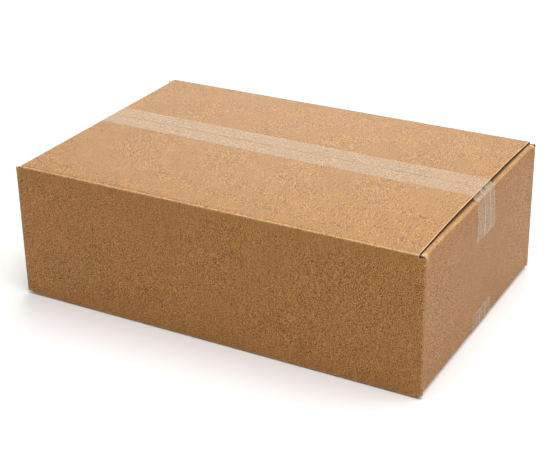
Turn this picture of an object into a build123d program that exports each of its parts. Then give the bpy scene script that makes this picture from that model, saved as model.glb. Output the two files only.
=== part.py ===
from build123d import *
from math import acos, atan2, cos, degrees, hypot, radians, sin, tan
import os

# A shipping carton, folded shut and taped: a regular slotted container made of one corrugated
# sheet, a glued side joint and two strips of clear tape. Every flap is closed. Millimetres.
# +X runs along the length, -Y is the front panel, +Z is up. The origin is on the ground, under
# the middle of the box. "End" means the two short sides, at -X and +X.

# ---- driving dimensions ------------------------------------------------------------------
box_length = 480.0          # over the outside of the two end panels
box_width = 312.0           # over the outside of the front and back panels
box_height = 157.0          # over the outside of the top and bottom flaps, at their folds
board = 3.0                 # thickness of the corrugated board (B flute)
fold_inside = 1.0           # radius on the inside of every fold

end_flap_depth = 150.0      # the short inner flaps, hinged on the end panels
long_flap_inset = 5.5       # the long outer flaps stop this far short of the end panels' outsides
tab_clearance = 0.8         # between the glue tab and the sides of the end flaps
slot_clearance = 1.0        # the corner slots are cut this far past the long flaps' folds
ply_gap = 0.3               # air between an end flap and the long flap that lies on it
seam_gap = 1.0              # between the free edges of two long flaps

top_seam_left = 19.0        # how far behind the middle the two top flaps meet, at the left end
top_seam_right = 6.6        # the same at the right end, as the top closed slightly out of square
bottom_seam = 6.0           # how far behind the middle the two bottom flaps meet
crown = 3.0                 # the top flaps stand up this much at the right end, and not at the left
crown_run = 70.0            # distance from the folds over which they rise

glue_tab_width = 35.0       # the tab that closes the sheet into a sleeve, inside the back panel
glue_tab_taper = 9.0        # how much its top and bottom edges slope
glue_thickness = 0.2        # dried glue between the tab and the back panel
glue_margin = 4.0           # bare border of the tab round the glue
joint_setback = 1.0         # the back panel's raw edge stops this far short of the corner

tape_width = 48.0
tape_thickness = 0.08       # film and adhesive
top_tape_drop = 50.0        # how far the top strip runs down an end, from the top of the box
bottom_tape_rise = 26.0     # how far the bottom strip runs up an end, from the base of the box

# ---- derived places ----------------------------------------------------------------------
fold_outside = fold_inside + board
fold_middle = fold_inside + board / 2
half_length = box_length / 2
half_width = box_width / 2
base = tape_thickness                       # the box stands on its bottom strip of tape
top = base + box_height
tab_face = half_width - board - glue_thickness
tab_tip = glue_tab_width - half_length
long_flap_end = half_length - long_flap_inset
end_flap_side = tab_face - board - tab_clearance
ply = board + ply_gap                       # an end flap lies this far under a long flap
end_fold_height = ply + fold_outside        # from the top, or the base, to where an end fold starts
slot_depth = fold_outside + slot_clearance  # from the top, or the base, to the foot of a slot


def long_side(side):
    """Section of the front (side -1) or back (side +1) panel, its two folds and its bottom flap,
    which ends half the seam gap short of the seam."""
    outer = side * half_width
    inner = side * (half_width - board)
    start = side * (half_width - fold_outside)
    free_edge = bottom_seam + side * seam_gap / 2
    with BuildSketch(Plane.YZ) as section:
        with BuildLine():
            Line((free_edge, base), (start, base))
            RadiusArc((start, base), (outer, base + fold_outside), -side * fold_outside)
            Line((outer, base + fold_outside), (outer, top - fold_outside))
            RadiusArc((outer, top - fold_outside), (start, top), -side * fold_outside)
            Line((start, top), (start, top - board))
            RadiusArc((start, top - board), (inner, top - fold_outside), side * fold_inside)
            Line((inner, top - fold_outside), (inner, base + fold_outside))
            RadiusArc((inner, base + fold_outside), (start, base + board), side * fold_inside)
            Line((start, base + board), (free_edge, base + board))
            Line((free_edge, base + board), (free_edge, base))
        make_face()
    return section.sketch


def top_flap(side, x, seam_y, rise):
    """Section at x of a long top flap, from its fold to the seam, where it stands up by rise. Its
    root is a point inside the fold, so that the two join through the board."""
    fold_y = side * (half_width - fold_outside)
    root_y = side * (half_width - fold_outside + fold_inside)
    ramp_y = side * (half_width - crown_run)
    free_edge = seam_y + side * seam_gap / 2
    with BuildSketch(Plane.YZ.offset(x)) as section:
        with BuildLine():
            Polyline(
                (fold_y, top),
                (ramp_y, top + rise),
                (free_edge, top + rise),
                (free_edge, top + rise - board),
                (ramp_y, top + rise - board),
                (fold_y, top - board),
                (root_y, top - board / 2),
                close=True,
            )
        make_face()
    return section.sketch


def end_flap(side, edge, inward):
    """Section of an end flap and its fold, at the left (side -1) or right (side +1) end. edge is
    the height of the long flap's outside, and inward is -1 at the top and +1 at the base."""
    outer = side * half_length
    inner = side * (half_length - board)
    start = side * (half_length - fold_outside)
    tip = side * (half_length - end_flap_depth)
    face = edge + inward * ply
    under = face + inward * board
    hinge = edge + inward * end_fold_height
    turn = side * inward
    with BuildSketch(Plane.XZ) as section:
        with BuildLine():
            Line((tip, face), (start, face))
            RadiusArc((start, face), (outer, hinge), -turn * fold_outside)
            Line((outer, hinge), (inner, hinge))
            RadiusArc((inner, hinge), (start, under), turn * fold_inside)
            Line((start, under), (tip, under))
            Line((tip, under), (tip, face))
        make_face()
    return section.sketch


# ---- carton: one folded sheet ------------------------------------------------------------
with BuildPart() as carton:
    # The sleeve: glue tab, left end, front, right end and back, up to the foot of the slots.
    with BuildSketch(Plane.XY.offset(base + slot_depth)):
        with BuildLine():
            middle_x = half_length - board / 2
            middle_y = half_width - board / 2
            tab_y = tab_face - board / 2
            FilletPolyline(
                (tab_tip, tab_y),
                (-middle_x, tab_y),
                (-middle_x, -middle_y),
                (middle_x, -middle_y),
                (middle_x, middle_y),
                (joint_setback - half_length, middle_y),
                radius=fold_middle,
            )
        trace(line_width=board)
    extrude(amount=box_height - 2 * slot_depth)

    # The tab's top and bottom edges slope towards its tip.
    with BuildSketch(Plane.XZ.offset(-tab_face)):
        for edge, inward in ((base + slot_depth, 1), (top - slot_depth, -1)):
            with BuildLine():
                Polyline(
                    (fold_outside - half_length, edge - inward),
                    (fold_outside - half_length, edge),
                    (tab_tip, edge + inward * glue_tab_taper),
                    (tab_tip + 1, edge + inward * glue_tab_taper),
                    (tab_tip + 1, edge - inward),
                    close=True,
                )
            make_face()
    extrude(amount=board, mode=Mode.SUBTRACT)

    # Room for the end flaps' folds, between the slots.
    with BuildSketch(Plane.XY.offset(base)):
        with Locations((-half_length, 0), (half_length, 0)):
            Rectangle(2 * fold_outside, 2 * end_flap_side)
    extrude(amount=end_fold_height, mode=Mode.SUBTRACT)
    with BuildSketch(Plane.XY.offset(top)):
        with Locations((-half_length, 0), (half_length, 0)):
            Rectangle(2 * fold_outside, 2 * end_flap_side)
    extrude(amount=-end_fold_height, mode=Mode.SUBTRACT)

    # The four end flaps, the front and back with their bottom flaps, and the long top flaps.
    for side in (-1, 1):
        extrude(end_flap(side, top, -1), amount=end_flap_side, both=True)
        extrude(end_flap(side, base, 1), amount=end_flap_side, both=True)
        extrude(long_side(side), amount=long_flap_end, both=True)
        left_end = top_flap(side, -long_flap_end, top_seam_left, 0.0)
        right_end = top_flap(side, long_flap_end, top_seam_right, crown)
        loft(sections=[left_end, right_end], ruled=True)

carton.part.label = "carton"


# ---- joint_glue: the film that holds the tab to the back panel ---------------------------
with BuildPart() as joint_glue:
    with BuildSketch(Plane.XZ.offset(-tab_face)):
        slope = glue_tab_taper / (glue_tab_width - fold_outside)
        near = fold_outside + glue_margin
        far = glue_tab_width - glue_margin
        low = base + slot_depth + glue_margin - slope * fold_outside
        high = top - slot_depth - glue_margin + slope * fold_outside
        with BuildLine():
            Polyline(
                (near - half_length, low + slope * near),
                (far - half_length, low + slope * far),
                (far - half_length, high - slope * far),
                (near - half_length, high - slope * near),
                close=True,
            )
        make_face()
    extrude(amount=-glue_thickness)

joint_glue.part.label = "joint_glue"


def tape_hook(side, seam_y, edge, inward, length):
    """Section at seam_y of the tape from a long flap's end on to an end panel. It leaves the
    flap's corner, spans the gap to the end fold, bends round it and lies on the panel. edge is
    the corner's height, length is how far the tape reaches from the top or base of the box, and
    inward is -1 on the top strip and +1 on the bottom strip."""
    panel_edge = top if inward < 0 else base
    centre_x = half_length - fold_outside
    centre_z = panel_edge + inward * end_fold_height
    # The corner seen from the fold's centre, out along X and away from the box's middle height.
    corner_x = long_flap_end - centre_x
    corner_up = (centre_z - edge) * inward
    reach = hypot(corner_x, corner_up)
    touch = degrees(atan2(corner_up, corner_x)) - degrees(acos(fold_outside / reach))
    bend = 90.0 - touch
    miter = tape_thickness * tan(radians(bend / 2))
    tip = panel_edge + inward * length

    def place(x, away):
        return (side * x, centre_z - inward * away)

    def on_fold(radius, angle):
        return place(centre_x + radius * cos(radians(angle)), radius * sin(radians(angle)))

    outside = fold_outside + tape_thickness
    inner_touch = on_fold(fold_outside, touch)
    inner_half = on_fold(fold_outside, touch / 2)
    inner_foot = on_fold(fold_outside, 0.0)
    outer_touch = on_fold(outside, touch)
    outer_half = on_fold(outside, touch / 2)
    outer_foot = on_fold(outside, 0.0)
    inner_tip = (side * half_length, tip)
    outer_tip = (side * (half_length + tape_thickness), tip)
    inner_corner = place(long_flap_end, corner_up)
    square_corner = place(long_flap_end, corner_up + tape_thickness)
    outer_corner = place(long_flap_end + miter, corner_up + tape_thickness)
    with BuildSketch(Plane.XZ.offset(-seam_y)) as section:
        with BuildLine():
            Polyline(inner_touch, inner_corner, square_corner, outer_corner, outer_touch)
            ThreePointArc(outer_touch, outer_half, outer_foot)
            Polyline(outer_foot, outer_tip, inner_tip, inner_foot)
            ThreePointArc(inner_foot, inner_half, inner_touch)
        make_face()
    return section.sketch


def tape_strip(x, seam_y, height):
    """Section at x of a strip of tape that lies flat on a seam, with its underside at height."""
    with BuildSketch(Plane.YZ.offset(x)) as section:
        with Locations((seam_y, height + tape_thickness / 2)):
            Rectangle(tape_width, tape_thickness)
    return section.sketch


# ---- top_tape: over the top seam and down both ends --------------------------------------
with BuildPart() as top_tape:
    left_end = tape_strip(-long_flap_end, top_seam_left, top)
    right_end = tape_strip(long_flap_end, top_seam_right, top + crown)
    loft(sections=[left_end, right_end], ruled=True)
    left_hook = tape_hook(-1, top_seam_left, top, -1, top_tape_drop)
    extrude(left_hook, amount=tape_width / 2, both=True)
    right_hook = tape_hook(1, top_seam_right, top + crown, -1, top_tape_drop)
    extrude(right_hook, amount=tape_width / 2, both=True)

top_tape.part.label = "top_tape"


# ---- bottom_tape: under the bottom seam and up both ends ---------------------------------
with BuildPart() as bottom_tape:
    strip = tape_strip(0.0, bottom_seam, base - tape_thickness)
    extrude(strip, amount=long_flap_end, both=True)
    for side in (-1, 1):
        hook = tape_hook(side, bottom_seam, base, 1, bottom_tape_rise)
        extrude(hook, amount=tape_width / 2, both=True)

bottom_tape.part.label = "bottom_tape"


os.makedirs("parts", exist_ok=True)
export_step(carton.part, "parts/carton.step")
export_step(joint_glue.part, "parts/joint_glue.step")
export_step(top_tape.part, "parts/top_tape.step")
export_step(bottom_tape.part, "parts/bottom_tape.step")
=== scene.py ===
"""A closed shipping carton: a regular slotted container of corrugated board, taped shut.

One sheet of B-flute board is walked round the box as a maker folds it, with its outer liner, its
fluting and its inner liner as separate pieces, and two strips of clear film close it.
Metres. +X runs along the length, -Y is the front panel, +Z is up.
"""

from math import acos, atan2, cos, exp, hypot, pi, radians, sin, sqrt

import bmesh
import bpy
from bpy.props import FloatProperty, FloatVectorProperty, IntProperty, PointerProperty
from mathutils import Matrix, Vector, noise


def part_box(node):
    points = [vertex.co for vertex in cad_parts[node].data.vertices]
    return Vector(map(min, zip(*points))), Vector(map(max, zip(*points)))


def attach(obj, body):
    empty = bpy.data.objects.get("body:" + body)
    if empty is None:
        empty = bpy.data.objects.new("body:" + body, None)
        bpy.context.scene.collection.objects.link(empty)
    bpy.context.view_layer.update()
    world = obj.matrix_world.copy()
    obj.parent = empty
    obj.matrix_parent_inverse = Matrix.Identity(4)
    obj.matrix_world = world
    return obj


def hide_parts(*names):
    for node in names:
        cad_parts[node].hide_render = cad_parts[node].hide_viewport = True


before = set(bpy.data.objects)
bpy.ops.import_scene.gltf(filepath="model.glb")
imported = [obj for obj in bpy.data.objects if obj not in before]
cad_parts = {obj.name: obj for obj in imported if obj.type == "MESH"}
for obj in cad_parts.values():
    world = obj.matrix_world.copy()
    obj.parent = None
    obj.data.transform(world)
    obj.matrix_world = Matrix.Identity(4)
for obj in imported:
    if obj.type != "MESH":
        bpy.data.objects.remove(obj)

bl_info = {
    "name": "Taped shipping carton",
    "version": (1, 0, 0),
    "blender": (4, 5, 0),
    "location": "3D View > Sidebar > Carton",
    "description": "Builds a closed corrugated carton with its fluting and its tape",
    "category": "Add Mesh",
}

MM = 0.001
LONG, WIDE, UPRIGHT = Vector((1, 0, 0)), Vector((0, 1, 0)), Vector((0, 0, 1))
CARTON_LOW, CARTON_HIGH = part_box("carton")
TAPE_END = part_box("top_tape")[1].x
TAPE_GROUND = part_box("bottom_tape")[0].z
FOLD_HEIGHT = 157.0 * MM  # over the outside of the bottom and the top flaps, at their folds

# Slack in tests of place.
SPARE = 0.02 * MM  # round a region whose parts are picked
TOUCH = 0.01 * MM  # a place this near a line is on it
SIDE_SPARE = 1.0 * MM  # beside an end flap
NEAR_FOLD = 3.0 * MM  # a place this near the level of a long flap is on it

# Facets of the round turns, and rows of the mesh past a long flap's end.
CORNER_FACETS = 8
FOLD_FACETS = 8
END_FOLD_FACETS = 6
BULGE_ROWS = (0.4 * MM, 1.1 * MM)

# How the board sits. Waves are counted in a metre.
CROWN_ROUND = 1.2  # 1 gives a crown that rises at once from its fold
BULGE_GAP = 0.2 * MM  # from a long flap's end to the start of the bulge
BULGE_RUN = 1.6 * MM
BELLY_REACH = 12.0 * MM  # the bottom folds' lift dies out this far up
TUCK_FROM = 0.65  # share of an end panel's half height where it begins to draw in
TUCK_SIDE = 8.0 * MM  # from an end flap's side to its full tuck
TUCK_END = 0.5 * MM  # from a long flap's end to the full tuck
LONG_WAVES, SHORT_WAVES, LONG_SHARE = 14.0, 37.0, 0.7
WAVE_EDGE = 20.0 * MM  # the waves die out this near a fold

# How rubbed the board is, and how much highlight is painted on its folds and edges, as shares of the
# pale rubbed fibres and painted highlight on a cut edge.
CORNER_RUB_HIGHLIGHT = 0.25  # times a fold's, on the upright corners
END_FOLD_RUB_HIGHLIGHT = 0.35  # times a fold's, on the end flaps' folds
UPRIGHT_CUT_RUB_HIGHLIGHT = 0.2
# Painted highlight: the end flaps' folds beside the long flaps are lightened where the long flap's
# end shades them.
SHOULDER_HIGHLIGHT = 0.4  # at least, on the end flaps' folds beside the long flaps
FOLD_RUB_HIGHLIGHT_ROUND = 1.3  # 1 gives wear in step with how far a fold has turned

# How the flutes lie.
FLUTE_ROOM = 0.02 * MM  # between a flute's crest and its liner
FLUTE_DRIFT = 0.012  # how far the flutes run off square

# How the film lies. Waves are counted in a metre.
TAPE_COLUMNS, TAPE_ROWS = 160, 48
TAPE_BEND_STEPS = 4
TAPE_STEP = 1.6 * MM
TAPE_INSIDE = 0.005 * MM  # between the film and the bounds of its CAD node
RIPPLE, RIPPLES_ALONG, RIPPLES_ACROSS = 0.05 * MM, 22, 160
CREASE = 0.4 * MM
CREASE_WANDER, WANDER_WAVES = 1.5 * MM, 40
CREASE_START, CREASE_STOP = 4.0 * MM, 6.0 * MM  # below the top, and before the cut end
CRUSH, CRUSH_WAVES = 0.5 * MM, 420
CRUSH_SIDE, CRUSH_BLEND, CRUSH_LEAST = 2.0 * MM, 3.0 * MM, 0.25  # less behind this line
FOLD_ROOM = 0.12 * MM  # between the bridging film and the fold under it
AIR_BRIDGE, AIR_LEAST = 2.5, 0.15  # how fast the film comes loose towards the flap
AIR_TRIM, TRIM_RUN = 0.7, 1.7 * MM  # loose along the cut end
TOOTH, TOOTH_WANDER, TOOTH_WAVES = 0.8 * MM, 0.3, 300
SLANT, SLANT_WAVES = 1.2 * MM, 60
# Upright creases in the film on an end panel: place across the strip, half width, and height as
# a share of the tallest.
TAPE_CREASES = (
    (-23.0 * MM, 0.8 * MM, 0.5),
    (-4.0 * MM, 0.8 * MM, 1.0),
    (-0.5 * MM, 0.6 * MM, 0.4),
    (11.0 * MM, 0.8 * MM, 0.9),
    (23.2 * MM, 0.7 * MM, 0.8),
)

# Sockets of a Mix node that blends colours.
BLEND, COLOUR_A, COLOUR_B, MIXED = 0, 6, 7, 2


def linear(hex_colour):
    """Linear red, green and blue of an sRGB hex colour."""
    channels = [int(hex_colour[i : i + 2], 16) / 255 for i in (1, 3, 5)]
    return [c / 12.92 if c <= 0.04045 else ((c + 0.055) / 1.055) ** 2.4 for c in channels]


def clamp(value):
    """A value held between 0 and 1."""
    return min(1.0, max(0.0, value))


def sign(value):
    """1 for a value above 0, else -1."""
    return 1 if value > 0 else -1


def rgba(colour):
    """A colour property as the four numbers that a socket takes."""
    return (*colour, 1.0)


def length(name, description, default):
    """A length property in millimetres, held in metres."""
    return FloatProperty(
        name=name, description=description, default=default * MM, unit="LENGTH", precision=5
    )


def colour(name, description, default):
    """A colour property from an sRGB hex value."""
    return FloatVectorProperty(
        name=name, description=description, default=linear(default), subtype="COLOR",
        min=0.0, max=1.0,
    )


# ---- sizes and colours that a user may change ---------------------------------------------
class CartonSheet(bpy.types.PropertyGroup):
    """The corrugated sheet and how it is folded."""

    board: length("Board", "Thickness of the corrugated board", 3.0)
    fold_outside: length("Fold radius", "Radius on the outside of a long flap's fold", 3.3)
    end_outside: length("End fold radius", "The same on an end flap", 4.0)
    corner_outside: length("Corner radius", "Radius on the outside of the upright corners", 2.2)
    crown: length("Crown", "How far the front top flap stands up at the right end", 2.9)
    back_crown: length("Back crown", "How far the back top flap stands up there", 2.9)
    crown_run: length("Crown run", "Distance from a fold over which its flap rises", 95.0)
    long_flap_inset: length("Flap inset", "Long flaps stop this far short of the ends", 7.2)
    end_flap_depth: length("End flap depth", "Depth of the inner flaps on the ends", 150.0)
    ply_gap: length("Ply gap", "Air between an end flap and the long flap on it", 0.3)
    slot_depth: length("Slot depth", "From the top or the base to the foot of a slot", 3.4)
    corner_drop: length("Corner drop", "From the top to the edge of the board beside a slot", 1.5)
    corner_slope: length("Corner slope", "How much lower that edge is at the corner itself", 1.7)
    seam_gap: length("Seam gap", "Between the free edges of two long flaps", 1.4)
    top_seam_left: length("Top seam, left", "How far behind the middle the top flaps meet", 19.0)
    top_seam_right: length("Top seam, right", "The same at the right end", 6.6)
    bottom_seam: length("Bottom seam", "How far behind the middle the bottom flaps meet", 6.0)
    tab_width: length("Glue tab", "Width of the tab inside the back panel", 35.0)
    tab_depth: length("Tab depth", "From the back panel's outside to the tab's", 3.2)
    side_gap: length("Side gap", "Between an end flap's side and the panel beside it", 0.6)
    joint_setback: length("Joint setback", "The back's raw edge stops short of the corner", 1.0)
    cell: length("Cell", "Spacing of the mesh on flat board", 9.0)
    shoulder: length("Shoulder", "How far an end flap's fold bulges beside the long flap", 0.6)
    tuck: length("Tuck", "How far an end flap's fold draws in between the corners", 2.0)
    low_tuck: length("Low tuck", "How far the bottom fold of an end panel is drawn inward", 1.0)
    bow: length("Bow", "How far the middle of an end panel draws in", 0.5)
    belly: length("Belly", "How far the bottom folds stand off the ground", 0.2)
    wave: length("Waviness", "Unevenness of the board's faces", 0.25)
    # The lighter line is partly rubbed fibres and partly painted highlight.
    crest_band: length("Crushed band", "Width of the lighter line along a cut edge", 1.2)


class CartonLayers(bpy.types.PropertyGroup):
    """The three papers of the board."""

    liner: length("Liner", "Thickness of the kraft liners", 0.35)
    medium: length("Medium", "Thickness of the fluting paper", 0.22)
    pitch: length("Flute pitch", "Distance between the tops of two B flutes", 6.5)
    recess: length("Recess", "How far the fluting is crushed back at a flap's end", 2.5)
    steps: IntProperty(name="Flute steps", description="Facets in one flute", default=8, min=6)


class CartonTape(bpy.types.PropertyGroup):
    """The two strips of film."""

    width: length("Width", "Width of the roll", 48.0)
    film: length("Film", "Thickness of the film with its adhesive", 0.04)
    clearance: length("Clearance", "Between the film and the board", 0.02)
    top_drop: length("Top drop", "How far the top strip runs down an end", 50.0)
    bottom_rise: length("Bottom rise", "How far the bottom strip runs up an end", 26.0)
    teeth: length("Teeth", "Spacing of the teeth that cut the film", 2.4)


class CartonFinish(bpy.types.PropertyGroup):
    """Colours of the papers, the film, the glue and the studio."""

    kraft_light: colour("Kraft, pale fibre", "Pale fibres of the linerboard", "#cc8f47")
    kraft_dark: colour("Kraft, dark fibre", "Dark fibres of the linerboard", "#482704")
    # Rubbed fibres and painted highlight: this pale colour also lightens fold crests and cut edges
    # where light catches them.
    kraft_rubbed_and_highlit: colour("Kraft, worn", "Raised fibres on folds and cut edges", "#dfbb8e")
    inner_light: colour("Inner liner, pale fibre", "Pale fibres of the testliner", "#8f6436")
    inner_dark: colour("Inner liner, dark fibre", "Dark fibres of the testliner", "#3f2407")
    # Painted shade: this colour is darkened past the fluting's own brown, to stand for the shadow in
    # the open flutes at the flap ends.
    fluting: colour("Fluting", "Recycled fluting medium", "#3f2610")
    film: colour("Film", "Milky cast of the adhesive under the film", "#d6c4ab")
    glue: colour("Glue", "Dried joint glue", "#c9b489")
    floor: colour("Floor", "Matt studio sweep", "#f4f4f4")


GROUPS = {
    "carton_sheet": CartonSheet,
    "carton_layers": CartonLayers,
    "carton_tape": CartonTape,
    "carton_finish": CartonFinish,
}


# ---- shared modelling steps ----------------------------------------------------------------
def let_go():
    """Leaves edit mode with nothing selected."""
    if bpy.context.mode != "OBJECT":
        bpy.ops.object.mode_set(mode="OBJECT")
    bpy.ops.object.select_all(action="DESELECT")


def select_only(*pieces):
    """Selects these pieces alone, with the first one active."""
    let_go()
    for piece in pieces:
        piece.select_set(True)
    bpy.context.view_layer.objects.active = pieces[0]


def start_plane(name, size_x, size_y, place, turn=(0.0, 0.0, 0.0), cells=(1, 1)):
    """A new rectangle of that size and place, held in edit mode with nothing selected."""
    let_go()
    bpy.ops.mesh.primitive_grid_add(
        x_subdivisions=cells[0], y_subdivisions=cells[1], size=1, location=place, rotation=turn
    )
    piece = bpy.context.object
    piece.name = piece.data.name = name
    piece.scale = (size_x, size_y, 1.0)
    bpy.ops.object.transform_apply(location=True, rotation=True, scale=True)
    bpy.ops.object.mode_set(mode="EDIT")
    bpy.ops.mesh.select_all(action="DESELECT")
    return piece


def pick(piece, kind, test):
    """Selects the vertices, edges or faces whose middle and all corners pass the test."""
    modes = [kind == mode for mode in ("verts", "edges", "faces")]
    bpy.context.tool_settings.mesh_select_mode = modes
    bpy.ops.mesh.select_all(action="DESELECT")
    mesh = bmesh.from_edit_mesh(piece.data)
    found = False
    for part in getattr(mesh, kind):
        corners = [part.co] if kind == "verts" else [v.co for v in part.verts]
        middle = sum(corners, Vector()) / len(corners)
        if all(test(c) for c in (middle, *corners)):
            part.select_set(True)
            found = True
    if not found:
        raise RuntimeError(f"nothing of {piece.name} is there to select")
    bmesh.update_edit_mesh(piece.data)


def extrude(offset):
    """Extrudes the selected edges by offset."""
    bpy.ops.mesh.extrude_region_move(TRANSFORM_OT_translate={"value": offset})


def spin(angle, centre, axis, steps):
    """Spins the selected edges round centre, by the right-hand rule about axis, and leaves the
    far edge selected. The operator itself turns the other way."""
    bpy.ops.mesh.spin(steps=steps, angle=-angle, center=centre, axis=axis)


def near(a, b, tolerance=SPARE):
    """Whether two places along an axis are the same, within the tolerance."""
    return abs(a - b) < tolerance


def cut(axis, places):
    """Cuts the whole mesh square to an axis, at each of these places along it."""
    for place in places:
        bpy.ops.mesh.select_all(action="SELECT")
        bpy.ops.mesh.bisect(plane_co=axis * place, plane_no=axis)


def face_outwards(piece, outward):
    """Turns round each face that looks against outward(middle of the face)."""
    mesh = bmesh.from_edit_mesh(piece.data)
    bmesh.ops.remove_doubles(mesh, verts=mesh.verts, dist=1e-6)
    mesh.normal_update()
    wrong = [f for f in mesh.faces if f.normal.dot(outward(f.calc_center_median())) < 0]
    bmesh.ops.reverse_faces(mesh, faces=wrong)
    mesh.normal_update()
    bmesh.update_edit_mesh(piece.data)


def leave_edit(piece):
    """Writes an edited mesh back and leaves edit mode."""
    bmesh.update_edit_mesh(piece.data)
    bpy.ops.object.mode_set(mode="OBJECT")


def duplicate(piece, name):
    """A copy of a finished object with its own mesh."""
    select_only(piece)
    bpy.ops.object.duplicate()
    copy = bpy.context.object
    copy.name = copy.data.name = name
    return copy


def apply_modifier(piece, kind, **settings):
    """Adds a modifier and applies it at once."""
    bpy.context.view_layer.objects.active = piece
    modifier = piece.modifiers.new(kind.title(), kind)
    for name, value in settings.items():
        setattr(modifier, name, value)
    bpy.ops.object.modifier_apply(modifier=modifier.name)


def hold(piece, material, slot, *nodes):
    """Gives a finished piece its material and body, in place of the CAD nodes; slot is not used."""
    piece.data.materials.clear()
    piece.data.materials.append(material)
    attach(piece, "root")
    if nodes:
        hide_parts(*nodes)
    let_go()


# ---- the folded sheet ----------------------------------------------------------------------
class Plan:
    """Places on the carton that follow from the frame and the sheet's sizes."""

    def __init__(self, sheet):
        self.sheet = sheet
        self.half_length = CARTON_HIGH.x
        self.half_width = CARTON_HIGH.y
        self.base = CARTON_LOW.z
        self.top = self.base + FOLD_HEIGHT
        self.middle = (self.base + self.top) / 2
        self.half_height = self.top - self.middle
        self.fold = sheet.fold_outside
        self.end_round = sheet.end_outside
        self.corner = sheet.corner_outside
        self.flat_x = self.half_length - self.end_round
        self.flat_y = self.half_width - self.fold
        self.turn_x = self.half_length - self.corner
        self.turn_y = self.half_width - self.corner
        self.tab_y = self.half_width - sheet.tab_depth
        self.tab_corner = self.tab_y - self.corner
        self.flap_end = self.half_length - sheet.long_flap_inset
        self.end_side = self.half_width - sheet.board - sheet.side_gap
        self.tab_side = self.tab_y - sheet.board - sheet.side_gap
        self.end_fold = sheet.board + sheet.ply_gap + self.end_round
        self.end_tip = self.half_length - sheet.end_flap_depth

    def edge(self, up):
        """Height of the top, or with up -1 of the base."""
        return self.top if up > 0 else self.base

    def along(self, x):
        """How far x is along the long flaps, from 0 at their left end to 1 at their right."""
        return (x + self.flap_end) / (2 * self.flap_end)

    def seam(self, x, up=1):
        """Where the two long flaps meet, at x."""
        sheet = self.sheet
        if up < 0:
            return sheet.bottom_seam
        return sheet.top_seam_left + self.along(x) * (sheet.top_seam_right - sheet.top_seam_left)

    def free_edge(self, side, up):
        """Where a long flap ends, halfway along the box."""
        return self.seam(0.0, up) + side * self.sheet.seam_gap / 2

    def around(self, x, y):
        """Distance walked round the sleeve to (x, y), from the joint at the left and back."""
        quarter = self.corner * pi / 2
        across, along = 2 * self.turn_y, 2 * self.turn_x
        past_x, past_y = abs(x) - self.turn_x, abs(y) - self.turn_y
        if x < 0 and past_x >= 0 and y >= -self.turn_y:
            return self.turn_y - y
        if x < 0 and past_x >= 0:
            return across + self.corner * atan2(past_y, past_x)
        if y < 0 and past_x < 0:
            return across + quarter + x + self.turn_x
        if y < 0 and past_y >= 0:
            return across + quarter + along + self.corner * atan2(past_x, past_y)
        if past_x >= 0 and past_y < 0:
            return across + 2 * quarter + along + y + self.turn_y
        if past_x >= 0:
            return 2 * across + 2 * quarter + along + self.corner * atan2(past_y, past_x)
        return 2 * across + 3 * quarter + along + self.turn_x - x

    def rise(self, x, y):
        """How far a long top flap stands up at (x, y): nothing at the left end, most at the
        right end, in a smooth crown from the folds to the seam."""
        sheet = self.sheet
        full = sheet.crown if y < self.seam(x) else sheet.back_crown
        run = clamp((self.flat_y - abs(y)) / sheet.crown_run)
        return full * clamp(self.along(x)) * sin(run * pi / 2) ** CROWN_ROUND

    def bulge(self, x, z):
        """How far an end flap's fold stands out, up or down, at (x, z) beside the long flap."""
        past = (abs(x) - self.flap_end - BULGE_GAP) / BULGE_RUN
        high = (abs(z - self.middle) - (self.half_height - self.end_fold)) / self.end_round
        if past <= 0 or high <= 0:
            return 0.0
        return self.sheet.shoulder * sin(clamp(past) * pi / 2) * sin(clamp(high) * pi / 2)

    def settle(self, place, outward):
        """How a place moves for the board to sit as real board does: bowed in, slightly wavy, the
        end panels drawn in towards their folds, and the bottom folds a little off the ground,
        because the bottom flaps belly down."""
        sheet = self.sheet
        off_middle = max(abs(place.x) / self.half_length, abs(place.y) / self.half_width)
        low = max(0.0, 1 - (place.z - self.base) / BELLY_REACH)
        stood = Vector((0.0, 0.0, sheet.belly * low * off_middle**4))
        if abs(place.x) > self.end_tip:
            height = abs(place.z - self.middle) / (self.half_height - self.end_fold)
            drawn = clamp((height - TUCK_FROM) / (1 - TUCK_FROM)) ** 2
            inward = clamp((self.end_side - abs(place.y)) / TUCK_SIDE)
            near_end = clamp((abs(place.x) - self.flap_end) / TUCK_END)
            tuck = sheet.tuck if place.z > self.middle else sheet.low_tuck
            stood.x = -tuck * drawn * inward * near_end * sign(place.x)
        bowed = 0.0
        level, on_side, on_end = abs(outward.z) > 0.9, abs(outward.z) < 0.5, abs(outward.x) > 0.9
        if on_end:
            across = cos(pi / 2 * min(1.0, abs(place.y) / self.flat_y))
            up = 1 - min(1.0, abs(place.z - self.middle) / self.half_height) ** 6
            bowed = sheet.bow * across * up
        from_fold = WAVE_EDGE
        if level:
            from_fold = self.half_width - abs(place.y)
        elif on_side:
            from_fold = min(self.top - place.z, place.z - self.base)
        waves = LONG_SHARE * noise.noise(place * LONG_WAVES)
        waves += (1 - LONG_SHARE) * noise.noise(place * SHORT_WAVES)
        wavy = sheet.wave * (0.5 + 0.5 * waves) * clamp(from_fold / WAVE_EDGE)
        return stood - outward * (bowed + wavy)


def outward_of(plan):
    """A function that gives the way out at a place on the sheet's outside."""
    reach = (plan.flat_x, plan.flat_y - NEAR_FOLD, plan.half_height - plan.end_fold)

    def way(place):
        from_middle = (place.x, place.y, place.z - plan.middle)
        return Vector([sign(d) * max(0.0, abs(d) - r) for d, r in zip(from_middle, reach)])

    return way


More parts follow.
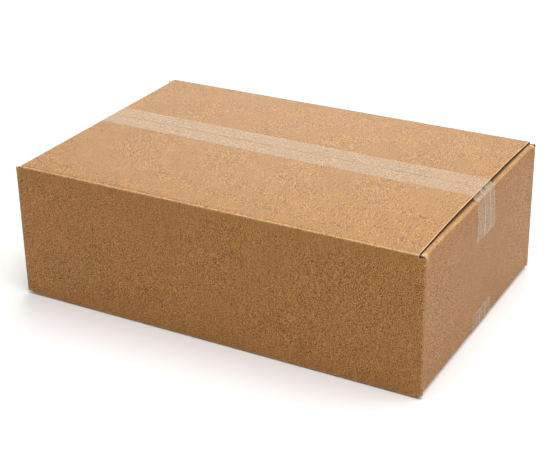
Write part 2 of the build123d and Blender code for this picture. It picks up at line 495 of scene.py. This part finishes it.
def walk_sleeve(plan):
    """The outside of the sleeve as one strip: the glue tab's rectangle, then each corner spun and
    each panel extruded, as far as the back panel's raw edge."""
    sheet = plan.sheet
    tab_tip = sheet.tab_width - plan.half_length
    tab_flat = tab_tip + plan.turn_x
    height = plan.top - plan.base - 2 * sheet.slot_depth
    piece = start_plane(
        "carton_outer_liner", tab_flat, height,
        (tab_tip - tab_flat / 2, plan.tab_y, plan.middle), (pi / 2, 0.0, 0.0),
    )
    pick(piece, "edges", lambda c: near(c.x, -plan.turn_x))
    turns = (
        (-plan.turn_x, plan.tab_corner, (0.0, -plan.turn_y - plan.tab_corner, 0.0)),
        (-plan.turn_x, -plan.turn_y, (2 * plan.turn_x, 0.0, 0.0)),
        (plan.turn_x, -plan.turn_y, (0.0, 2 * plan.turn_y, 0.0)),
        (plan.turn_x, plan.turn_y, (sheet.joint_setback - plan.half_length - plan.turn_x, 0.0, 0.0)),
    )
    for x, y, panel in turns:
        spin(pi / 2, (x, y, plan.middle), UPRIGHT, CORNER_FACETS)
        extrude(panel)
    return piece


def add_end_flap(plan, piece, side, up):
    """Clears an end panel past its fold, spins the flap round the fold and extrudes it."""
    back = plan.tab_side if side < 0 else plan.end_side
    hinge_z = plan.edge(up) - up * plan.end_fold

    def in_flap(c):
        at_end = near(c.x, side * plan.half_length)
        return at_end and -plan.end_side - SPARE < c.y < back + SPARE

    pick(piece, "faces", lambda c: in_flap(c) and up * (c.z - hinge_z) > -SPARE)
    bpy.ops.mesh.delete(type="FACE")
    pick(piece, "edges", lambda c: in_flap(c) and near(c.z, hinge_z))
    spin(pi / 2, (side * plan.flat_x, 0.0, hinge_z), (0, -side * up, 0), END_FOLD_FACETS)
    extrude((-side * (plan.flat_x - plan.end_tip), 0.0, 0.0))


def raise_corners(plan, piece, side):
    """Carries the board beside the top slots up to its sloping edge, except at the joint."""
    sheet = plan.sheet
    foot = plan.top - sheet.slot_depth
    edge = plan.top - sheet.corner_drop

    def beside_slot(c):
        outside = side * c.x > plan.flap_end + SPARE and abs(c.y) > plan.end_side + SPARE
        return outside and near(c.z, foot) and (side > 0 or c.y < 0)

    pick(piece, "edges", beside_slot)
    extrude((0.0, 0.0, sheet.slot_depth - sheet.corner_drop))
    pick(piece, "verts", lambda c: near(c.z, edge) and side * c.x > plan.turn_x + SPARE)
    bpy.ops.transform.translate(value=(0.0, 0.0, -sheet.corner_slope))


def add_long_flap(plan, piece, side, up):
    """Carries a long panel to its fold, spins the flap round the fold and extrudes it."""
    sheet = plan.sheet
    edge = plan.edge(up)
    foot = edge - up * sheet.slot_depth

    def at_foot(c):
        on_panel = near(c.y, side * plan.half_width) and abs(c.x) < plan.flap_end + SPARE
        return on_panel and near(c.z, foot)

    pick(piece, "edges", at_foot)
    extrude((0.0, 0.0, up * (sheet.slot_depth - plan.fold)))
    hinge = (0.0, side * plan.flat_y, edge - up * plan.fold)
    spin(pi / 2, hinge, (side * up, 0, 0), FOLD_FACETS)
    extrude((0.0, plan.free_edge(side, up) - side * plan.flat_y, 0.0))


def add_flaps(plan, piece):
    """Cuts the sleeve along the slots and the end flaps' folds, and gives it its eight flaps."""
    cut(LONG, (-plan.flap_end, plan.flap_end))
    cut(WIDE, (-plan.end_side, plan.tab_side, plan.end_side))
    cut(UPRIGHT, (plan.base + plan.end_fold, plan.top - plan.end_fold))
    for side in (-1, 1):
        for up in (-1, 1):
            add_end_flap(plan, piece, side, up)
            if up > 0:
                raise_corners(plan, piece, side)
            add_long_flap(plan, piece, side, up)


def grid_places(low, high, cell):
    """Evenly spaced places between two values, no further apart than cell."""
    count = max(1, round((high - low) / cell))
    return [low + (high - low) * i / count for i in range(1, count)]


def cut_grid(plan):
    """Cuts flat board into cells, with a narrow band along each cut edge."""
    sheet = plan.sheet
    band = sheet.crest_band
    cut(LONG, grid_places(-plan.flap_end + band, plan.flap_end - band, sheet.cell))
    for past in (-band, *BULGE_ROWS):
        cut(LONG, (plan.flap_end + past, -plan.flap_end - past))
    cut(WIDE, grid_places(-plan.end_side, plan.end_side, sheet.cell))
    for seam in (sheet.bottom_seam, plan.seam(0.0)):
        cut(WIDE, (seam - band, seam + band))
    cut(UPRIGHT, grid_places(plan.base + plan.end_fold, plan.top - plan.end_fold, sheet.cell))


def shape_flaps(plan, piece):
    """Lets the end flaps' folds bulge beyond the long flaps, skews the long top flaps to their
    seam, and gives them their crown."""
    mesh = bmesh.from_edit_mesh(piece.data)
    middle_seam = plan.seam(0.0)
    for vertex in mesh.verts:
        place = vertex.co
        bulge = plan.bulge(place.x, place.z)
        if bulge and abs(place.y) < plan.end_side + SPARE:
            place.z += bulge * sign(place.z - plan.middle)
        elif place.z >= plan.top - TOUCH and abs(place.y) <= plan.flat_y:
            share = 1 - abs(place.y - middle_seam) / (plan.flat_y - abs(middle_seam))
            place.y += (plan.seam(place.x) - middle_seam) * max(0.0, share)
            place.z += plan.rise(place.x, place.y)
    bmesh.update_edit_mesh(piece.data)


def flat_place(plan, place):
    """Where a place on the box lies on the flat sheet: across the flutes from the joint, and
    along them."""
    up = sign(place.z - plan.middle)
    level = abs(place.z - plan.middle) > plan.half_height - NEAR_FOLD
    if abs(place.x) <= plan.flap_end + TOUCH and (level or abs(place.y) > plan.flat_y):
        side = sign(place.y - plan.seam(place.x, up))
        across = plan.around(place.x, side * plan.half_width)
        return across, place.z + up * (plan.half_width - abs(place.y))
    if abs(place.x) < plan.flat_x and abs(place.y) < plan.end_side + SIDE_SPARE:
        across = plan.around(sign(place.x) * plan.half_length, place.y)
        return across, place.z + up * (plan.half_length - abs(place.x))
    return plan.around(place.x, place.y), place.z


def rub_and_highlight_of(plan, vertex):
    """How rubbed a vertex is, with its painted highlight, from 0 on flat board to 1 on a cut edge or
    the crest of a fold.
    """
    place, normal = vertex.co, vertex.normal
    upright, towards_end = abs(normal.z) < 0.1, abs(normal.x) > 0.1
    # Fold crests, where the face leans between two sides, take the pale colour: rubbed fibres and
    # painted highlight.
    lean = (1 - max(abs(n) for n in normal)) / (1 - sqrt(0.5))
    cut_edge = 1.0
    if upright:
        lean *= CORNER_RUB_HIGHLIGHT
        cut_edge = UPRIGHT_CUT_RUB_HIGHLIGHT
    elif towards_end:
        lean *= END_FOLD_RUB_HIGHLIGHT
    worn = cut_edge if vertex.is_boundary else min(1.0, lean) ** FOLD_RUB_HIGHLIGHT_ROUND
    # Painted highlight: the end flap's fold just past a long flap's end takes at least this share of
    # the pale colour, against the shade the long flap casts there.
    beside_flap = plan.flap_end - 2 * MM < abs(place.x) < plan.half_length - 1 * MM
    below_flap = abs(place.z - plan.middle) < plan.half_height - 2 * MM
    on_end_flap = abs(place.y) < plan.end_side and abs(normal.z) > 0.3
    if beside_flap and below_flap and on_end_flap:
        worn = max(worn, SHOULDER_HIGHLIGHT)
    return worn


def mark_sheet(plan, piece):
    """Gives the sheet its own map, in metres, and how rubbed each vertex is, with the highlight
    painted on its folds and cut edges.
    """
    mesh = bmesh.from_edit_mesh(piece.data)
    worn = mesh.verts.layers.float.new("worn")
    flat_map = mesh.loops.layers.uv.new("sheet")
    for vertex in mesh.verts:
        vertex[worn] = rub_and_highlight_of(plan, vertex)
    for face in mesh.faces:
        for loop in face.loops:
            loop[flat_map].uv = flat_place(plan, loop.vert.co)
    bmesh.update_edit_mesh(piece.data)


def fold_sheet(plan):
    """The outside face of the whole folded sheet, marked and left in object mode."""
    piece = walk_sleeve(plan)
    add_flaps(plan, piece)
    bpy.ops.mesh.select_all(action="SELECT")
    bpy.ops.mesh.remove_doubles(threshold=0.001 * MM)
    cut_grid(plan)
    face_outwards(piece, outward_of(plan))
    mark_sheet(plan, piece)
    shape_flaps(plan, piece)
    mesh = bmesh.from_edit_mesh(piece.data)
    mesh.normal_update()
    moves = [(v, plan.settle(v.co, v.normal)) for v in mesh.verts]
    for vertex, move in moves:
        vertex.co += move
    leave_edit(piece)
    return piece


def smooth(piece, angle=35):
    """Shades a piece smooth, except across edges that turn by more than angle."""
    select_only(piece)
    bpy.ops.object.shade_smooth_by_angle(angle=radians(angle))


# ---- the fluting ---------------------------------------------------------------------------
def flute(plan, layers, across, along, centre, out, run, rows, shape=None):
    """A stretch of fluting paper, across wide and along long. run is the way across the flutes,
    and out is the way out of the box. shape says how a place follows its flap."""
    columns = round(across / layers.pitch * layers.steps)
    down = run.cross(out)
    turn = Matrix((run, -down, out)).transposed().to_euler()
    piece = start_plane("carton_fluting", across, along, centre, turn, (columns, rows))
    mesh = bmesh.from_edit_mesh(piece.data)
    height = (plan.sheet.board - 2 * layers.liner - layers.medium) / 2 - FLUTE_ROOM
    for vertex in mesh.verts:
        from_centre = vertex.co - Vector(centre)
        far = from_centre.dot(run) + FLUTE_DRIFT * from_centre.dot(down)
        place = vertex.co.copy()
        vertex.co += out * height * sin(2 * pi * far / layers.pitch)
        if shape:
            vertex.co += shape(place)
        vertex.co += plan.settle(place, out)
    leave_edit(piece)
    apply_modifier(piece, "SOLIDIFY", thickness=layers.medium, offset=0.0)
    return piece


# ---- tape ----------------------------------------------------------------------------------
def lay_tape(plan, tape, name, up, reach):
    """A strip of film laid along a seam, bent over both ends and pressed on the end panels."""
    edge = plan.edge(up)
    gap = tape.clearance + tape.film / 2
    level = edge + up * gap
    piece = start_plane(
        name, 2 * plan.flap_end, tape.width, (0.0, 0.0, level), cells=(TAPE_COLUMNS, TAPE_ROWS)
    )
    fold = plan.end_round + gap
    for side in (-1, 1):
        stand = plan.rise(side * plan.flap_end, 0.0) if up > 0 else 0.0
        hinge = Vector((side * plan.flat_x, 0.0, edge - up * plan.end_fold))
        corner_x = plan.flap_end - plan.flat_x
        corner_up = plan.end_fold + stand + gap
        apart = hypot(corner_x, corner_up)
        touch = atan2(corner_up, corner_x) - acos(min(1.0, fold / apart))
        pick(piece, "edges", lambda c, x=side * plan.flap_end: near(c.x, x))
        target = Vector((side * fold * cos(touch), 0.0, up * fold * sin(touch)))
        start = Vector((side * plan.flap_end, 0.0, level))
        for _ in range(TAPE_BEND_STEPS):
            extrude((hinge + target - start) / TAPE_BEND_STEPS)
        spin(touch, hinge, (0, side * up, 0), TAPE_BEND_STEPS)
        down = reach - plan.end_fold
        count = round(down / TAPE_STEP)
        for _ in range(count):
            extrude((0.0, 0.0, -up * down / count))
    return piece


def wrinkle_tape(plan, tape, piece, up, reach):
    """Moves the film from its plain strip to its seam, with its cut ends, creases and ripples."""
    edge = plan.edge(up)
    away = UPRIGHT * up
    mesh = bmesh.from_edit_mesh(piece.data)
    flat_map = mesh.loops.layers.uv.new("film")
    lifted = mesh.verts.layers.float.new("lifted")
    mesh.normal_update()
    placed = {}
    spare = tape.film / 2 + TAPE_INSIDE
    for vertex in mesh.verts:
        place = vertex.co.copy()
        side = sign(place.x)
        across = place.y
        fall = up * (edge - place.z)
        on_top = max(-plan.flap_end, min(plan.flap_end, place.x))
        along = place.x + side * max(0.0, fall)
        beyond = abs(place.x) - plan.flap_end
        placed[vertex.index] = (along, across)
        place.y = plan.seam(on_top, up) + across
        normal = vertex.normal
        out = -normal if normal.dot(Vector((side, 0, up))) < 0 else normal.copy()
        place += plan.settle(place, away if fall < plan.end_fold / 2 else out)
        stand = plan.rise(on_top, place.y) if up > 0 else 0.0
        if beyond < TOUCH:
            place.z += stand
            if up > 0:
                ripple = noise.noise(Vector((along * RIPPLES_ALONG, across * RIPPLES_ACROSS, 3.0)))
                place += out * (RIPPLE * max(0.0, ripple))
        else:
            share = max(0.0, 1 - max(0.0, fall) / plan.end_fold)
            place.z += up * stand * share
            wander = CREASE_WANDER * noise.noise(Vector((along * WANDER_WAVES, 2.0, side)))
            crease = max(
                tall * exp(-(((across - line - wander) / width) ** 2))
                for line, width, tall in TAPE_CREASES
            )
            lift = CREASE * crease * clamp((reach - fall) / CREASE_STOP) * clamp(fall / CREASE_START)
            crush = 0.0
            if share > 0:
                crush = noise.noise(Vector((across * CRUSH_WAVES, along * CRUSH_WAVES, 4.0)))
            front = 1 / (1 + exp((across - CRUSH_SIDE) / CRUSH_BLEND))
            crushed = CRUSH * crush * share * (CRUSH_LEAST + (1 - CRUSH_LEAST) * front)
            place += out * (lift + crushed)
            if 0 < fall < plan.end_fold:
                round_x = min(plan.end_round, max(0.0, abs(place.x) - plan.flat_x))
                shell = edge + up * (sqrt(plan.end_round**2 - round_x**2) - plan.end_fold)
                shell += up * (plan.bulge(place.x, shell) + FOLD_ROOM)
                place.z = up * max(up * place.z, up * shell)
            bridge = min(1.0, AIR_BRIDGE * share) * (AIR_LEAST + crush)
            trimmed = AIR_TRIM * max(0.0, 1 - (reach - fall) / TRIM_RUN)
            vertex[lifted] = max(crease, bridge, trimmed)
        if near(fall, reach, 0.05 * MM):
            bite = across / tape.teeth + TOOTH_WANDER * noise.noise(place * TOOTH_WAVES)
            tooth = abs(bite % 1.0 - 0.5) * 2
            slant = SLANT * noise.noise(Vector((across * SLANT_WAVES, 5.0 * side, 1.0)))
            place.z += up * (TOOTH * tooth + slant + TOOTH)
        place.x = max(spare - TAPE_END, min(TAPE_END - spare, place.x))
        place.z = max(TAPE_GROUND + spare, place.z)
        vertex.co = place
    for face in mesh.faces:
        for loop in face.loops:
            loop[flat_map].uv = placed[loop.vert.index]
    face_outwards(piece, lambda c: Vector((
        3 * sign(c.x) * max(0.0, abs(c.x) - plan.flap_end), 0.0,
        up * max(0.0, up * (c.z - edge) + plan.end_fold),
    )))
    bpy.ops.object.mode_set(mode="OBJECT")


# ---- materials -----------------------------------------------------------------------------
def node(tree, kind, inputs=None, **settings):
    """Adds a node with its settings, and gives each input a value or a link."""
    made = tree.nodes.new(kind)
    for name, value in settings.items():
        setattr(made, name, value)
    for socket, value in (inputs or {}).items():
        if isinstance(value, bpy.types.NodeSocket):
            tree.links.new(value, made.inputs[socket])
        else:
            made.inputs[socket].default_value = value
    return made


def new_material(name):
    """An empty node material and its tree."""
    material = bpy.data.materials.new(name)
    material.use_nodes = True
    material.node_tree.nodes.clear()
    return material, material.node_tree


def finish_material(material, inputs):
    """Ends a material with a Principled shader that has these inputs."""
    tree = material.node_tree
    shader = node(tree, "ShaderNodeBsdfPrincipled", inputs)
    node(tree, "ShaderNodeOutputMaterial", {"Surface": shader.outputs[0]})
    return material


def two_shades(tree, colour, darker, size, **pattern):
    """A colour socket that runs between a colour and a darker shade of it, in a grain of that size
    on Object coordinates, and the grain's own socket."""
    place = node(tree, "ShaderNodeTexCoord").outputs["Object"]
    grain = node(tree, "ShaderNodeTexNoise",
                 {"Vector": place, "Scale": 1 / size, **pattern}).outputs[0]
    shade = [c * darker for c in colour]
    tint = node(tree, "ShaderNodeMix", {BLEND: grain, COLOUR_A: rgba(shade),
                                        COLOUR_B: rgba(colour)}, data_type="RGBA")
    return tint.outputs[MIXED], grain


def weighted_sum(tree, start, *patterns):
    """The sum of start and, for each (pattern, middle, weight), the pattern's distance from its
    middle times its weight."""
    total = start - sum(middle * weight for _, middle, weight in patterns)
    for pattern, _, weight in patterns:
        total = node(tree, "ShaderNodeMath", {0: pattern, 1: weight, 2: total},
                     operation="MULTIPLY_ADD").outputs[0]
    return total


def linerboard(layers, name, pale, dark, fold_edge_colour):
    """Linerboard: fibres pressed and dried on the machine, unbleached pine kraft outside and
    darker recycled testliner inside. It is matt and brown, mottled where the fibres clump, with
    single dark and pale fibres, faint lines where the flutes press through, and raised pale fibres
    where a fold or a cut breaks its face; that pale colour is partly painted highlight on the fold
    crests, the cut edges and the end flaps' folds beside the long flaps."""
    material, tree = new_material(name)
    place = node(tree, "ShaderNodeTexCoord").outputs["Object"]
    sheet = node(tree, "ShaderNodeUVMap", uv_map="sheet").outputs[0]
    worn = node(tree, "ShaderNodeAttribute", attribute_name="worn").outputs["Fac"]
    # A fibre is some 0.03 mm across, too fine to show, so the grain is drawn 0.6 mm coarse. Fibres
    # clump over 2.6 mm, and the sheet is softly mottled over 25 mm.
    sizes = ((0.6 * MM, 0.0), (2.6 * MM, 1.0), (25 * MM, 3.0))
    grain, clumps, mottle = [
        node(tree, "ShaderNodeTexNoise", {"Vector": place, "Scale": 1 / size, "Detail": detail,
                                          "Roughness": 0.6}).outputs[0]
        for size, detail in sizes
    ]
    # Machine direction: streaks 1.5 mm wide and 18 mm long beside the flutes.
    drawn = node(tree, "ShaderNodeMapping",
                 {"Vector": sheet, "Scale": (1 / (1.5 * MM), 1 / (18 * MM), 1.0)})
    streak = node(tree, "ShaderNodeTexNoise", {"Vector": drawn.outputs[0], "Scale": 1.0,
                                               "Detail": 2.0, "Roughness": 0.6}).outputs[0]
    # The flutes press through as a faint washboard.
    u = node(tree, "ShaderNodeSeparateXYZ", {0: sheet}).outputs[0]
    phase = node(tree, "ShaderNodeMath", {0: u, 1: 2 * pi / layers.pitch}, operation="MULTIPLY")
    washboard = node(tree, "ShaderNodeMath", {0: phase.outputs[0]}, operation="SINE").outputs[0]
    tone = weighted_sum(
        tree, 0.0, (grain, 0.5, 8.0), (clumps, 0.5, 0.6), (mottle, 0.5, 0.5), (streak, 0.5, 1.0),
        (washboard, 0.0, 0.04),
    )
    share = node(tree, "ShaderNodeMath", {0: tone, 1: 0.5}, operation="ADD", use_clamp=True)
    face = node(tree, "ShaderNodeMix", {BLEND: share.outputs[0], COLOUR_A: rgba(dark),
                                        COLOUR_B: rgba(pale)}, data_type="RGBA")
    patchy = weighted_sum(tree, 0.85, (clumps, 0.5, 2.0))
    # The pale colour mixed in here is rubbed fibres and painted highlight on fold crests and cut
    # edges.
    rub_highlight_share = node(tree, "ShaderNodeMath", {0: worn, 1: patchy}, operation="MULTIPLY", use_clamp=True)
    rub_highlit_colour = node(tree, "ShaderNodeMix", {BLEND: rub_highlight_share.outputs[0], COLOUR_A: face.outputs[MIXED],
                                          COLOUR_B: rgba(fold_edge_colour)}, data_type="RGBA")
    relief = weighted_sum(tree, 0.0, (grain, 0.5, 0.5), (washboard, 0.0, 0.25), (streak, 0.5, 0.25))
    bump = node(tree, "ShaderNodeBump", {"Height": relief, "Strength": 0.35,
                                         "Distance": 0.12 * MM})
    return finish_material(material, {
        "Base Color": rub_highlit_colour.outputs[MIXED], "Roughness": 0.56, "Specular IOR Level": 0.3,
        "Sheen Weight": 0.04, "Sheen Roughness": 0.5, "Normal": bump.outputs[0],
    })


def fluting_medium(finish):
    """Fluting medium: thin recycled paper, rougher than the liners, and darker: partly its own
    duller brown, partly painted shade for the shadow in the open flutes at the flap ends.
    """
    material, tree = new_material("fluting_medium")
    # Its fibres, too, are drawn coarser than they are, at 0.8 mm.
    # finish.fluting is painted shade, darkened past the medium's own brown for the open flutes at
    # the flap ends.
    tint, grain = two_shades(tree, finish.fluting, 0.6, 0.8 * MM, Detail=3.0, Roughness=0.7)
    bump = node(tree, "ShaderNodeBump", {"Height": grain, "Strength": 0.3, "Distance": 0.1 * MM})
    return finish_material(material, {
        "Base Color": tint, "Roughness": 0.8, "Specular IOR Level": 0.2, "Normal": bump.outputs[0],
    })


def packing_film(finish):
    """Biaxially oriented polypropylene film with acrylic adhesive: clear and glossy, with a
    milky cast where the adhesive holds fine air bubbles against the paper."""
    material, tree = new_material("clear_bopp_film")
    film = node(tree, "ShaderNodeUVMap", uv_map="film").outputs[0]
    lifted = node(tree, "ShaderNodeAttribute", attribute_name="lifted").outputs["Fac"]
    # Streaks of air 70 mm long and 3 mm wide along the strip, where the roll was pulled.
    drawn = node(tree, "ShaderNodeMapping",
                 {"Vector": film, "Scale": (1 / (70 * MM), 1 / (3 * MM), 1.0)})
    air = node(tree, "ShaderNodeTexNoise", {"Vector": drawn.outputs[0], "Scale": 1.0,
                                            "Detail": 2.0, "Roughness": 0.5})
    cover = node(tree, "ShaderNodeMapRange", {0: air.outputs[0], 1: 0.3, 2: 0.7, 3: 0.08, 4: 0.15})
    white = node(tree, "ShaderNodeMath", {0: lifted, 1: 0.6, 2: cover.outputs[0]},
                 operation="MULTIPLY_ADD", use_clamp=True)
    bump = node(tree, "ShaderNodeBump", {"Height": air.outputs[0], "Strength": 0.06,
                                         "Distance": 0.1 * MM})
    return finish_material(material, {
        "Base Color": rgba(finish.film), "Roughness": 0.32, "IOR": 1.5,
        "Alpha": white.outputs[0], "Normal": bump.outputs[0],
    })


def dried_glue(finish):
    """Dried polyvinyl acetate: a thin, yellowed, slightly glossy skin."""
    material, tree = new_material("dried_pva_glue")
    # Brushed on, in streaks of about 4 mm.
    tint, _ = two_shades(tree, finish.glue, 0.7, 4 * MM, Detail=2.0)
    return finish_material(material, {"Base Color": tint, "Roughness": 0.45})


def studio_sweep(finish):
    """Matt white paper sweep, with hardly any grain."""
    material, tree = new_material("paper_sweep")
    tint, _ = two_shades(tree, finish.floor, 0.985, 40 * MM)
    return finish_material(
        material, {"Base Color": tint, "Roughness": 0.9, "Specular IOR Level": 0.1}
    )


# ---- operators -----------------------------------------------------------------------------
class CARTON_OT_liners(bpy.types.Operator):
    """Fold the sheet and give it its outer and inner liner"""

    bl_idname = "carton.liners"
    bl_label = "Liners"

    def execute(self, context):
        scene = context.scene
        plan = Plan(scene.carton_sheet)
        layers = scene.carton_layers
        outer = fold_sheet(plan)
        inner = duplicate(outer, "carton_inner_liner")
        bpy.ops.object.mode_set(mode="EDIT")
        bpy.ops.mesh.select_all(action="SELECT")
        bpy.ops.transform.shrink_fatten(value=-(scene.carton_sheet.board - layers.liner))
        bpy.ops.object.mode_set(mode="OBJECT")
        finish = scene.carton_finish
        papers = (
            (outer, "kraft_linerboard", finish.kraft_light, finish.kraft_dark, finish.kraft_rubbed_and_highlit),
            (inner, "testliner", finish.inner_light, finish.inner_dark, finish.inner_dark),
        )
        for piece, name, pale, dark, fold_edge_colour in papers:
            apply_modifier(piece, "SOLIDIFY", thickness=layers.liner, offset=-1.0)
            smooth(piece)
            paper = linerboard(layers, name, pale, dark, fold_edge_colour)
            hold(piece, paper, "corrugated_board", "carton")
        return {"FINISHED"}


class CARTON_OT_fluting(bpy.types.Operator):
    """Lay the fluting paper between the liners of every panel and flap"""

    bl_idname = "carton.fluting"
    bl_label = "Fluting"

    def execute(self, context):
        scene = context.scene
        sheet, layers = scene.carton_sheet, scene.carton_layers
        plan = Plan(sheet)
        deep = sheet.board / 2
        height = plan.top - plan.base - 2 * sheet.slot_depth
        end_height = plan.top - plan.base - 2 * plan.end_fold
        made = []
        for side in (-1, 1):
            made.append(flute(
                plan, layers, 2 * plan.turn_x, height,
                (0.0, side * (plan.half_width - deep), plan.middle), WIDE * side, LONG, 8,
            ))
            made.append(flute(
                plan, layers, 2 * plan.end_side, end_height,
                (side * (plan.half_length - deep), 0.0, plan.middle), LONG * side, WIDE, 8,
            ))
            for up in (-1, 1):
                seam = plan.free_edge(side, up)
                fold = side * plan.flat_y

                def follow(place, up=up, fold=fold, seam=seam):
                    if up < 0:
                        return Vector((0.0, 0.0, 0.0))
                    share = 1 - abs(place.y - seam) / abs(fold - seam)
                    skewed = (plan.seam(place.x) - plan.seam(0.0)) * max(0.0, share)
                    return Vector((0.0, skewed, plan.rise(place.x, place.y + skewed)))

                made.append(flute(
                    plan, layers, 2 * (plan.flap_end - layers.recess), abs(seam - fold),
                    (0.0, (seam + fold) / 2, plan.edge(up) - up * deep), UPRIGHT * up,
                    LONG, 12, follow,
                ))
        select_only(*made)
        bpy.ops.object.join()
        piece = bpy.context.object
        piece.name = piece.data.name = "carton_fluting"
        smooth(piece, 60)
        hold(piece, fluting_medium(scene.carton_finish), "corrugated_board", "carton")
        return {"FINISHED"}


class CARTON_OT_tape(bpy.types.Operator):
    """Lay the strips of film over the top and the bottom seam"""

    bl_idname = "carton.tape"
    bl_label = "Tape"

    def execute(self, context):
        scene = context.scene
        plan = Plan(scene.carton_sheet)
        tape = scene.carton_tape
        film = packing_film(scene.carton_finish)
        strips = ((1, "top_tape", tape.top_drop), (-1, "bottom_tape", tape.bottom_rise))
        for up, name, reach in strips:
            piece = lay_tape(plan, tape, name + "_film", up, reach)
            wrinkle_tape(plan, tape, piece, up, reach)
            apply_modifier(piece, "SOLIDIFY", thickness=tape.film, offset=0.0)
            smooth(piece, 50)
            hold(piece, film, "clear_tape", name)
        return {"FINISHED"}


class CARTON_OT_glue(bpy.types.Operator):
    """Finish the dried glue in the side joint"""

    bl_idname = "carton.glue"
    bl_label = "Joint glue"

    def execute(self, context):
        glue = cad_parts["joint_glue"]
        glue.data.materials.clear()
        glue.data.materials.append(dried_glue(context.scene.carton_finish))
        return {"FINISHED"}


class CARTON_OT_stage(bpy.types.Operator):
    """Set the floor, the soft lights and the camera"""

    bl_idname = "carton.stage"
    bl_label = "Stage"

    def execute(self, context):
        scene = context.scene
        let_go()
        bpy.ops.mesh.primitive_circle_add(
            vertices=96, radius=9.0, fill_type="NGON", location=(0, 0, -0.1 * MM)
        )
        floor = context.object
        floor.name = "floor"
        bpy.ops.object.transform_apply(location=True, rotation=True, scale=True)
        floor.data.materials.append(studio_sweep(scene.carton_finish))

        def softbox(name, place, size, radiance, tint=(1, 1, 1)):
            """A square light that faces the box, with the same radiance at any size."""
            light = bpy.data.lights.new(name, "AREA")
            light.shape = "SQUARE"
            light.size = size
            light.energy = radiance * pi * size * size
            light.color = tint
            lamp = bpy.data.objects.new(name, light)
            scene.collection.objects.link(lamp)
            lamp.location = place
            towards = Vector((0, 0, 0.08)) - Vector(place)
            lamp.rotation_euler = towards.to_track_quat("-Z", "Y").to_euler()

        softbox("overhead_light", (0.7, -0.1, 2.3), 2.8, 3.45)
        softbox("back_light", (-1.7, 3.3, 1.9), 2.6, 4.0, (0.97, 1.04, 0.96))
        world = bpy.data.worlds.new("studio")
        scene.world = world
        world.use_nodes = True
        sky = world.node_tree.nodes["Background"]
        sky.inputs["Color"].default_value = (1, 1, 1, 1)
        sky.inputs["Strength"].default_value = 0.3
        scene.view_settings.view_transform = "Standard"

        view = bpy.data.cameras.new("camera")
        view.sensor_width = 36.0
        view.lens = 87.4
        view.shift_x, view.shift_y = 0.016, -0.08
        view.clip_end = 50.0
        camera = bpy.data.objects.new("camera", view)
        scene.collection.objects.link(camera)
        camera.location = (0.6584, -1.1918, 0.7243)
        aim = Vector((-0.0134, 0.0, 0.1057))
        look = aim - camera.location
        roll = Matrix.Rotation(radians(1.104), 3, look.normalized())
        camera.rotation_euler = (roll @ look.to_track_quat("-Z", "Y").to_matrix()).to_euler()
        scene.camera = camera
        return {"FINISHED"}


class CARTON_PT_panel(bpy.types.Panel):
    """Lists the steps and the sizes in the sidebar"""

    bl_label = "Shipping carton"
    bl_idname = "CARTON_PT_panel"
    bl_space_type = "VIEW_3D"
    bl_region_type = "UI"
    bl_category = "Carton"

    def draw(self, context):
        for operator in OPERATORS:
            self.layout.operator(operator.bl_idname)
        for name, group in GROUPS.items():
            box = self.layout.box()
            box.label(text=group.__doc__)
            for field in group.__annotations__:
                box.prop(getattr(context.scene, name), field)


OPERATORS = (
    CARTON_OT_liners,
    CARTON_OT_fluting,
    CARTON_OT_tape,
    CARTON_OT_glue,
    CARTON_OT_stage,
)


def register():
    for group in GROUPS.values():
        bpy.utils.register_class(group)
    for name, group in GROUPS.items():
        setattr(bpy.types.Scene, name, PointerProperty(type=group))
    for operator in (*OPERATORS, CARTON_PT_panel):
        bpy.utils.register_class(operator)


def unregister():
    for operator in reversed((*OPERATORS, CARTON_PT_panel)):
        bpy.utils.unregister_class(operator)
    for name, group in GROUPS.items():
        delattr(bpy.types.Scene, name)
        bpy.utils.unregister_class(group)


def main():
    register()
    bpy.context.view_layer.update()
    bpy.ops.carton.liners()
    bpy.ops.carton.fluting()
    bpy.ops.carton.tape()
    bpy.ops.carton.glue()
    bpy.ops.carton.stage()
    bpy.context.view_layer.update()


if __name__ == "__main__":
    main()
